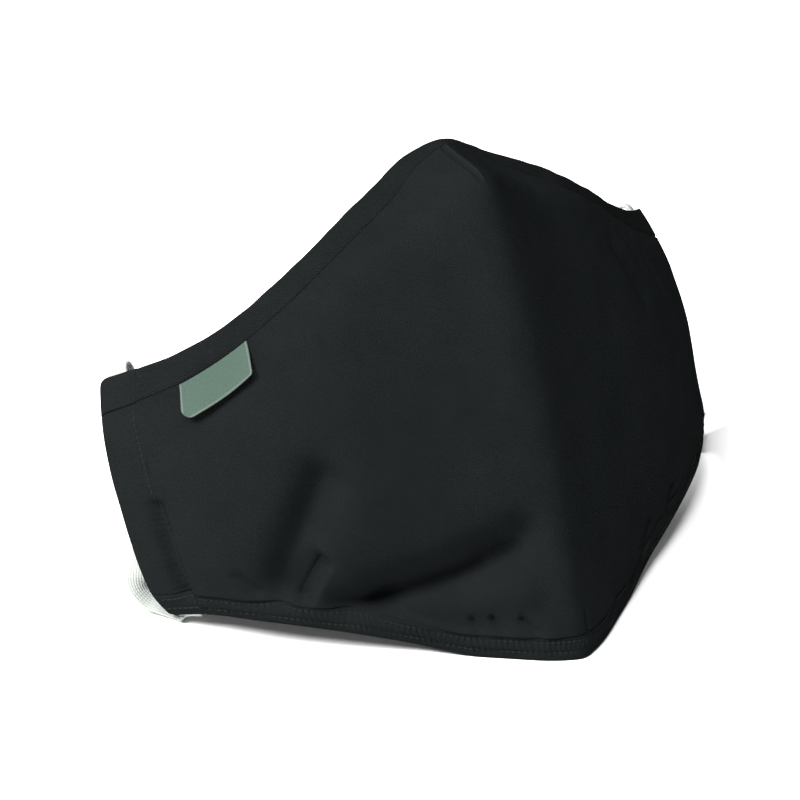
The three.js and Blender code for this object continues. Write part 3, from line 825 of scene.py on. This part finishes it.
def hem_cloth(material):
    """The hem from its seam down the outside, round the lower edge and up the inside."""
    reach = casing_line(0) + SEAM_TUCK / length_across(0)
    fine = ROLL_REACH / (2 * FLAT_SPAN)
    t = stations(HEM_COLUMNS, power=1.0, low_fine=fine, high_fine=fine)[:, None] * 2 - 1
    w = t * reach
    share = stations(HEM_LINES, power=1.0, low_fine=ROLL_REACH / HEM_WIDTH, high_fine=0.05)
    drop = HEM_WIDTH * share
    across = w * length_across(0.0)
    ends = rolled((1 - np.abs(t)) * reach * length_across(0.0))
    edge = np.maximum(rolled(drop) + HEM_EDGE_ROLL * rolled(HEM_WIDTH - drop), ends)
    outer = hem_relief(across, drop) - edge
    behind = np.interp(share, (0, HEM_SINK), (-CLOTH_THICKNESS, -HEM_THICKNESS))
    inner = behind + INNER_ROLL * edge
    under = np.broadcast_to(HEM_UNDERSIDE * HEM_THICKNESS, (len(w), len(HEM_UNDERSIDE)))
    lift = np.concatenate([outer, under, inner[:, ::-1]], 1)
    rise = HEM_WIDTH - np.concatenate([drop, [HEM_WIDTH] * len(HEM_UNDERSIDE), drop[::-1]])
    places = place(w, rise / length_up(w), lift)
    uv = np.stack(np.broadcast_arrays(across, rise), -1)
    return loft("hem_cloth", places, uv, material)


hem = hem_cloth(cotton_finish)
dress(hem, "cup_cotton", "bottom_hem")


# At each ear the cup's edge is turned in and sewn down as a casing for the elastic, open at
# both ends. Band and hem run on over it, and its stitching gathers the cloth beside it.
CASING_STEPS = 130
CASING_ROW = 0.0009
CASING_SEAM = 0.93
CASING_MIDDLE = 0.95
EDGE_CUT = 0.0003
CORNER_RADIUS = 0.0026
SEAM_STEPS = np.arange(-5, 6) * 0.0002
MOUTH_REACH = 0.0006
MOUTH_ROLL = 0.0004
GROOVE_PLACE = 0.0018
GROOVE_DEPTH = 0.00045
GATHERS_PLACE = 0.0022
UPPER_GATHERS = 0.35
RIB_HEIGHT = 0.00012
ROW_DEPTH = 0.00022
BAND_SEAM_DEPTH = 0.0006
HEM_SEAM_DEPTH = 0.0003


def rounded(outline):
    """A closed outline with its corners cut off twice."""
    points = np.array(outline, float)
    for _ in range(2):
        ahead = np.roll(points, -1, axis=0)
        points = np.stack([mix(points, ahead, 0.25), mix(points, ahead, 0.75)], 1).reshape(-1, 2)
    return points


def casing_outlines():
    """The casing's outer outline and its channel: in from the seam, and behind the face."""
    wide, thick, turn = CASING_WIDTH, CASING_THICKNESS, CASING_THICKNESS / 2
    outer = rounded([
        (0, EDGE_CUT), (EDGE_CUT, 0),
        *((wide * t, 0) for t in (0.1, 0.18, 0.26, 0.34, 0.42, 0.5, 0.6)), (wide - turn, 0),
        (wide - turn * 0.3, turn * 0.3), (wide, turn), (wide - turn * 0.3, turn * 1.7),
        (wide - turn, thick), (wide * 0.45, thick), (STITCH_MARGIN + CASING_WALL, thick),
        (EDGE_CUT, HEM_THICKNESS), (0, HEM_THICKNESS - EDGE_CUT),
    ])
    start, end, deep = STITCH_MARGIN, STITCH_MARGIN + CHANNEL_WIDTH, CHANNEL_DEPTH
    channel = rounded([
        (start, 0.3 * deep), (start + 0.2 * deep, 0),
        *((mix(start, end, t), 0) for t in (0.14, 0.26, 0.38, 0.5, 0.62, 0.74, 0.84)),
        (end - 0.3 * deep, 0), (end - 0.08 * deep, 0.2 * deep),
        (end, 0.5 * deep), (end - 0.08 * deep, 0.8 * deep), (end - 0.3 * deep, deep),
        (mix(start, end, 0.5), deep), (start + 0.3 * deep, deep), (start + 0.1 * deep, 0.8 * deep),
        (start, 0.6 * deep),
    ])
    return outer, channel + (0, CASING_WALL)


def casing_relief(from_seam, v):
    """The casing's face: the stitched groove, its gathers, and the seams of band and hem."""
    w = 1 - (CASING_WIDTH - from_seam) / length_across(v)
    along = v * length_up(w)
    low_down = 1 - smooth(v, low=0.35, high=0.65)
    groove = bell(from_seam - GROOVE_PLACE, reach=0.0018) * low_down
    groove = groove * smooth(v, low=0.02, high=0.1)
    gathers = bell(from_seam - GATHERS_PLACE, reach=0.0016) * mix(UPPER_GATHERS, 1, low_down)
    ribs = RIB_HEIGHT * np.sin(2 * np.pi * along / STITCH_PITCH)
    ribs = ribs + wander(along, height=0.00026, pitch=0.0022, seed=41)
    lift = gathers * ribs - GROOVE_DEPTH * groove
    lift -= ROW_DEPTH * bell(from_seam - CASING_ROW, reach=0.0004)
    lift -= BAND_SEAM_DEPTH * bell((1 - v) * length_up(w) - BAND_WIDTH, reach=0.00022)
    lift -= HEM_SEAM_DEPTH * bell(along - HEM_WIDTH, reach=0.0002)
    return lift + mottle(from_seam, along, height=0.0002, pitch=0.006, seed=42)


def corner_cut(distance, radius):
    """How much a round corner takes off an edge, at this distance from the side."""
    inside = np.clip(radius - distance, 0, radius)
    return radius - np.sqrt(radius**2 - inside**2)


def side_casing(name, side, material):
    """A casing with its channel, open at both mouths and rounded at its upper outer corner."""
    length = float(length_up(CASING_MIDDLE))
    seams = [line(CASING_MIDDLE) + SEAM_STEPS / length for line in (band_line, hem_line)]
    mouth = FINE_STEPS * MOUTH_REACH / length
    v = [np.linspace(0, 1, CASING_STEPS + 1), *seams, mouth, 1 - mouth]
    v = np.unique(np.round(np.concatenate(v), 5))[:, None]
    outer, channel = casing_outlines()
    facing = 1 - smooth(outer[:, 1], 0.0, CASING_THICKNESS / 2)
    mouth_roll = rolled(np.minimum(v, 1 - v) * length, MOUTH_REACH, MOUTH_ROLL)
    behind = outer[:, 1] - (casing_relief(outer[:, 0], v) - mouth_roll) * facing
    upper = smooth(v, low=0.7, high=1) / length
    outer_v, channel_v = (
        v - upper * corner_cut(CASING_WIDTH - line[:, 0], CORNER_RADIUS)
        for line in (outer, channel)
    )
    outside = casing_place(side, outer[:, 0], behind, outer_v)
    inside = casing_place(side, channel[:, 0], channel[:, 1], channel_v)
    index, after, walls = wall_faces(outside)
    shift = index.size
    low_rim = np.stack([index[0], after[0], after[0] + shift, index[0] + shift], -1)
    high_rim = np.stack([index[-1] + shift, after[-1] + shift, after[-1], index[-1]], -1)
    faces = np.concatenate([walls, walls[:, ::-1] + shift, low_rim, high_rim])
    points = np.concatenate([outside.reshape(-1, 3), inside.reshape(-1, 3)])
    flat = [np.stack(np.broadcast_arrays(p[:, 0] * side, v * length), -1) for p in (outer, channel)]
    uv = np.concatenate([f.reshape(-1, 2) for f in flat])
    return piece_from(name, points, faces, uv, material)


for side, hand in ((-1, "right"), (1, "left")):
    casing = side_casing(f"casing_cloth_{hand}", side, cotton_finish)
    dress(casing, "cup_cotton", f"side_casing_{hand}")


# The label is a folded grey-green woven tape, its upper edge caught in the band's seam and
# its lower edge free, so that it stands off the cheek. It is bare, with a plain selvedge.
LABEL_LENGTH = 0.021
LABEL_DROP = 0.0095
LABEL_THICKNESS = 0.0006
LABEL_PLACE = 0.735
LABEL_STAND_OFF = 0.0014
STAND_OFF_POWER = 1.5
LABEL_CORNERS = (0.0032, 0.0007)
LABEL_CURL = 0.0003
CURL_TURNS = 1.1
CURL_START = 0.6
LABEL_EDGE = 0.0003
LABEL_EDGE_SHARE = 0.02
LABEL_LEVEL = 0.8
LABEL_COLUMNS = 60
LABEL_ROWS = 30
WARP_PITCH = 0.00034
WEFT_PITCH = 0.00028
SELVEDGE = 0.00055
TAPE_DARK = (0.027, 0.047, 0.036, 1)
TAPE_LIGHT = (0.053, 0.083, 0.067, 1)
SELVEDGE_LIGHT = (0.100, 0.118, 0.106, 1)


def woven_tape():
    finish = Finish("label_weave")
    where = finish.node("ShaderNodeUVMap", {"uv_map": "cloth"})
    axes = finish.node("ShaderNodeSeparateXYZ", None, {"Vector": where})
    along, down = axes, axes.also("Y")
    warp = (along * (2 * math.pi / WARP_PITCH)).sine()
    weft = (down * (2 * math.pi / WEFT_PITCH) + warp * 0.6).sine()
    fuzz = finish.noise(where, pitch=0.0006, detail=3.0)
    mask = weft * 0.14 + warp * 0.1 + fuzz * 0.9
    ground = finish.blend(mask, TAPE_DARK, TAPE_LIGHT)
    to_side = LABEL_LENGTH / 2 - abs(along - LABEL_LENGTH / 2)
    edge = to_side.math("MINIMUM", to_side, LABEL_DROP - down)
    selvedge = edge.math("LESS_THAN", edge, SELVEDGE)
    tone = finish.blend(selvedge * 0.6, ground, SELVEDGE_LIGHT)
    height = weft * 0.5 + warp * 0.5 + fuzz * 0.6 + selvedge * 0.4
    normal = finish.bump(height, distance=0.00007, strength=0.9)
    return finish.done(Base_Color=tone, Roughness=0.7, Specular_IOR_Level=0.15, Normal=normal)


def label_tape(material):
    """The label hangs from the band's seam, curls a little and stands off the cheek."""
    along = stations(LABEL_COLUMNS, power=1.0, low_fine=0.02, high_fine=0.02)
    along = LABEL_LENGTH * along[:, None]
    share = stations(LABEL_ROWS, power=1.0, low_fine=0.02, high_fine=0.04)
    w = -LABEL_PLACE + (along - LABEL_LENGTH / 2) / length_across(LABEL_LEVEL)
    left, right = LABEL_CORNERS
    drop = LABEL_DROP - corner_cut(along, left) - corner_cut(LABEL_LENGTH - along, right)
    down = drop * share
    v = band_line(w) - (SEAM_GAP + down) / length_up(w)
    edge = np.minimum(np.minimum(along, LABEL_LENGTH - along), drop - down)
    near_edge = np.clip(1 - edge / LABEL_EDGE, 0, 1)
    half = LABEL_THICKNESS / 2 * np.clip(1 - near_edge**2, LABEL_EDGE_SHARE, 1) ** 0.5
    turns = CURL_TURNS * 2 * np.pi * along / LABEL_LENGTH
    curl = LABEL_CURL * np.sin(turns + CURL_START) * share
    middle = SEAM_GAP + LABEL_THICKNESS / 2 + LABEL_STAND_OFF * share**STAND_OFF_POWER + curl
    outer = place(w, v, middle + half)
    inner = place(w, v, middle - half)
    rings = np.concatenate([outer, inner[:, ::-1]], 1)
    uv = np.stack(np.broadcast_arrays(along, down), -1)
    return loft("woven_label", rings, np.concatenate([uv, uv[:, ::-1]], 1), material)


label = label_tape(woven_tape())
dress(label, "label_weave", "side_label")


# The sewing is short lockstitch in black thread: two rows along the hem, which run on over
# the ends of the casings, and one row beside each casing's seam. One bent thread is modelled
# and copied along every row.
STITCH_LENGTH = 0.00125
THREAD = 0.0003
THREAD_SINK = 0.00012
THREAD_LIFT = 0.00002
ROW_START = 0.7
ROW_END = 0.6
ROW_STAGGER = 0.4
HEM_ROW_POINTS = 900
CASING_ROW_FOOT = 0.02
CASING_ROW_HEAD = 0.01
CASING_ROW_POINTS = 200
SHORT_ROW_START = 0.0004
SHORT_ROW_END = CASING_WIDTH - 0.0012
SHORT_ROW_POINTS = 60
THREAD_BLACK = (0.004, 0.0048, 0.005, 1)
THREAD_LIGHT = (0.009, 0.010, 0.0105, 1)


def one_stitch():
    """A short round thread along X, bent down at both ends where it enters the cloth."""
    bpy.ops.mesh.primitive_cube_add(size=1)
    stitch = bpy.context.object
    bpy.ops.object.mode_set(mode="EDIT")
    bpy.ops.mesh.select_all(action="SELECT")
    bpy.ops.mesh.subdivide(number_cuts=2)
    bpy.ops.transform.tosphere(value=1)
    bpy.ops.transform.resize(value=(STITCH_LENGTH, THREAD, THREAD))
    bpy.ops.object.mode_set(mode="OBJECT")
    points = np.array([v.co for v in stitch.data.vertices])
    faces = np.array([list(p.vertices) for p in stitch.data.polygons])
    bpy.data.objects.remove(stitch)
    points[:, 2] -= THREAD_SINK * (points[:, 0] / (STITCH_LENGTH / 2)) ** 2
    return points, faces


def sewing_thread():
    finish = Finish("sewing_thread")
    where = finish.node("ShaderNodeTexCoord", output="Object")
    twist = finish.noise(where, pitch=0.0002)
    tone = finish.blend(twist, THREAD_BLACK, THREAD_LIGHT)
    return finish.done(Base_Color=tone, Roughness=0.7, Specular_IOR_Level=0.1)


def stitch_row(rows, line, outs, offset=0.0):
    """Add one row of stitches along a line on the cloth."""
    reach = lengths_along(line)
    first = STITCH_PITCH * (ROW_START + offset)
    middles = np.arange(first, reach[-1] - STITCH_PITCH * ROW_END, STITCH_PITCH)
    steps = np.array([-0.5, 0, 0.5]) * STITCH_LENGTH
    at = np.stack([np.interp(middles[:, None] + steps, reach, line[:, i]) for i in range(3)], -1)
    out = unit(np.stack([np.interp(middles, reach, outs[:, i]) for i in range(3)], -1))
    ahead = unit(at[:, 2] - at[:, 0])
    aside = np.cross(out, ahead)
    rows.append((at[:, 1] + THREAD_LIFT * out, ahead, aside, out))


def sew(name, rows, stitch, material):
    """One piece with a copy of the stitch at every place of the rows."""
    points, faces = stitch
    middle, ahead, aside, out = (np.concatenate(parts) for parts in zip(*rows))
    copies = middle[:, None] + sum(
        way[:, None] * points[:, i, None] for i, way in enumerate((ahead, aside, out))
    )
    shifted = faces[None] + len(points) * np.arange(len(middle))[:, None, None]
    uv = np.broadcast_to(points[:, :2], (len(middle), len(points), 2)).reshape(-1, 2)
    piece = piece_from(name, copies.reshape(-1, 3), shifted.reshape(-1, 4), uv, material)
    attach(piece, "root")
    return piece


stitch = one_stitch()
thread_finish = sewing_thread()

hem_rows = []
reach = float(casing_line(0) - SEAM_GAP / length_across(0))
w = np.linspace(-1, 1, HEM_ROW_POINTS) * reach
for number, drop in enumerate(HEM_ROWS):
    v = (HEM_WIDTH - drop) / length_up(w)
    lift = hem_relief(w * length_across(0.0), drop)
    stitch_row(hem_rows, place(w, v, lift), directions(w, v)[2], ROW_STAGGER * number)
hem_stitches = sew("hem_stitches", hem_rows, stitch, thread_finish)

casing_rows = []
for side in (-1, 1):
    top = float(band_line(CASING_SEAM)) - CASING_ROW_HEAD
    v = np.linspace(CASING_ROW_FOOT, top, CASING_ROW_POINTS)
    w = side * (1 - (CASING_WIDTH - CASING_ROW) / length_across(v))
    line = casing_place(side, CASING_ROW, -casing_relief(CASING_ROW, v), v)
    stitch_row(casing_rows, line, directions(w, v)[2])
    for drop in HEM_ROWS:
        in_from_seam = np.linspace(SHORT_ROW_START, SHORT_ROW_END, SHORT_ROW_POINTS)
        v = np.full(SHORT_ROW_POINTS, (HEM_WIDTH - drop) / length_up(CASING_MIDDLE))
        w = side * (1 - (CASING_WIDTH - in_from_seam) / length_across(v))
        line = casing_place(side, in_from_seam, -casing_relief(in_from_seam, v), v)
        stitch_row(casing_rows, line, directions(w, v)[2])
casing_stitches = sew("casing_stitches", casing_rows, stitch, thread_finish)


# The studio is one pale floor with a broad soft light high on the left, a weaker one
# overhead and even white surroundings.
FLOOR_SIZE = 6
FLOOR_TONE = (0.9, 0.9, 0.9, 1)
LIGHT_SIZE = 1.0
LIGHT_AIM = Vector((0, 0, 0.05))
SURROUNDINGS = 0.22
bpy.ops.mesh.primitive_plane_add(size=FLOOR_SIZE)
floor = bpy.context.object
floor.name = "floor"
paper = Finish("pale_floor")
floor.data.materials.append(paper.done(Base_Color=FLOOR_TONE, Roughness=0.9))


def softbox(name, location, power):
    bpy.ops.object.light_add(type="AREA", location=location)
    light = bpy.context.object
    light.name = name
    light.data.shape = "DISK"
    light.data.size = LIGHT_SIZE
    light.data.energy = power
    light.rotation_euler = (LIGHT_AIM - Vector(location)).to_track_quat("-Z", "Y").to_euler()


softbox("key_left", location=(-1.9, 0.2, 1.9), power=156)
softbox("top", location=(-0.5, -0.2, 1.8), power=50)
world = bpy.data.worlds.new("studio")
bpy.context.scene.world = world
world.use_nodes = True
background = world.node_tree.nodes["Background"]
background.inputs["Color"].default_value = (1, 1, 1, 1)
background.inputs["Strength"].default_value = SURROUNDINGS
bpy.context.scene.view_settings.view_transform = "Standard"
